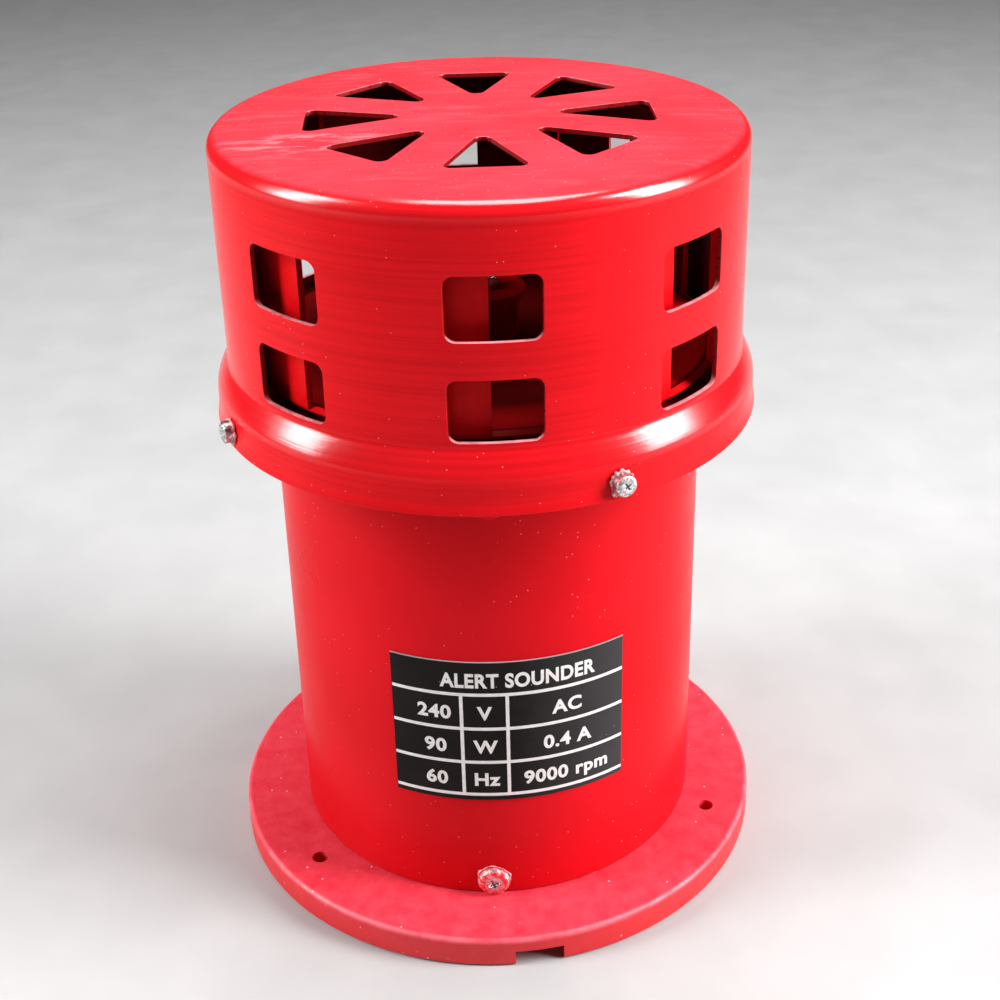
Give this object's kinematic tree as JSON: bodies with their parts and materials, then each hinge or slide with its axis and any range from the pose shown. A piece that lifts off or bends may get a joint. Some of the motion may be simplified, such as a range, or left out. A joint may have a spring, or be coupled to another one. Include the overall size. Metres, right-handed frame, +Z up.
{
  "type": "alarm siren",
  "caption": "Motor-driven alarm siren: round base, upright tube with motor, and a windowed cap over a bladed rotor.",
  "frame": {"origin": "centre of the base plate's underside", "axes": "+Z up along the motor shaft; -Y is the front, the side with the rating label; +X is to the right of someone who looks at the label"},
  "size_m": [0.119, 0.119, 0.1655],
  "materials": {
    "red_paint": "satin red paint on spun and rolled sheet steel",
    "red_moulding": "red moulded plastic, slightly mottled",
    "label": "black printed foil",
    "steel": "plain machined steel",
    "lamination": "stacked electrical steel laminations",
    "cast_aluminium": "die-cast",
    "copper": "enamelled copper wire and copper bars",
    "brass": "pressed brass",
    "carbon": "moulded carbon and black phenolic",
    "rubber": "black rubber and cable sheath",
    "plastic": "ivory moulded insulation"
  },
  "bodies": {
    "housing": {"body_tube": "red_paint", "motor_plate": "red_paint", "siren_cap": "red_paint", "base_plate": "red_moulding", "rating_label": "label", "cable_grommet": "rubber", "left_lead": "rubber", "right_lead": "rubber", "base_screw_1": "steel", "base_screw_2": "steel", "base_screw_3": "steel", "plate_screw_1": "steel", "plate_screw_2": "steel", "plate_screw_3": "steel", "cap_screw_1": "steel", "cap_screw_2": "steel", "cap_screw_3": "steel", "cap_screw_4": "steel", "motor_screw_1": "steel", "motor_screw_2": "steel", "through_bolt_1": "steel", "through_bolt_2": "steel", "terminal_screw_1": "steel", "terminal_screw_2": "steel", "upper_bearing_outer_ring": "steel", "lower_bearing_outer_ring": "steel", "left_brush_spring": "steel", "right_brush_spring": "steel", "stator_core": "lamination", "upper_bracket": "cast_aluminium", "lower_bracket": "cast_aluminium", "left_field_coil": "copper", "right_field_coil": "copper", "left_brush_holder": "brass", "right_brush_holder": "brass", "left_brush_cap": "carbon", "right_brush_cap": "carbon", "terminal_block": "plastic", "suppression_capacitor": "plastic"},
    "rotor": {"rotor_drum": "red_paint", "rotor_hub": "red_paint", "hub_clamp_ring": "steel", "hub_grub_screw": "steel", "motor_shaft": "steel", "armature_core": "lamination", "armature_winding": "copper", "commutator": "copper", "upper_bearing_inner_ring": "steel", "lower_bearing_inner_ring": "steel"},
    "left_brush": {"left_brush": "carbon"},
    "right_brush": {"right_brush": "carbon"},
    "upper_cage": {"upper_ball_cage": "brass"},
    "lower_cage": {"lower_ball_cage": "brass"}
  },
  "joints": [
    {"name": "rotor_spin", "type": "hinge", "parent": "housing", "child": "rotor", "pos_m": [0, 0, 0.119], "axis": [0, 0, 1], "continuous": true},
    {"name": "left_brush_slide", "type": "slide", "parent": "housing", "child": "left_brush", "axis": [-1, 0, 0], "range_m": [0, 0.003], "stiffness_N_per_m": 120, "springref_m": -0.004, "deforming": ["left_brush_spring"]},
    {"name": "right_brush_slide", "type": "slide", "parent": "housing", "child": "right_brush", "axis": [1, 0, 0], "range_m": [0, 0.003], "stiffness_N_per_m": 120, "springref_m": -0.004, "deforming": ["right_brush_spring"]},
    {"name": "upper_cage_spin", "type": "hinge", "parent": "housing", "child": "upper_cage", "pos_m": [0, 0, 0.10555], "axis": [0, 0, 1], "continuous": true},
    {"name": "lower_cage_spin", "type": "hinge", "parent": "housing", "child": "lower_cage", "pos_m": [0, 0, 0.02295], "axis": [0, 0, 1], "continuous": true}
  ],
  "couplings": [
    {"joint": "upper_cage_spin", "follows": "rotor_spin", "ratio": 0.4085},
    {"joint": "lower_cage_spin", "follows": "rotor_spin", "ratio": 0.4085}
  ]
}
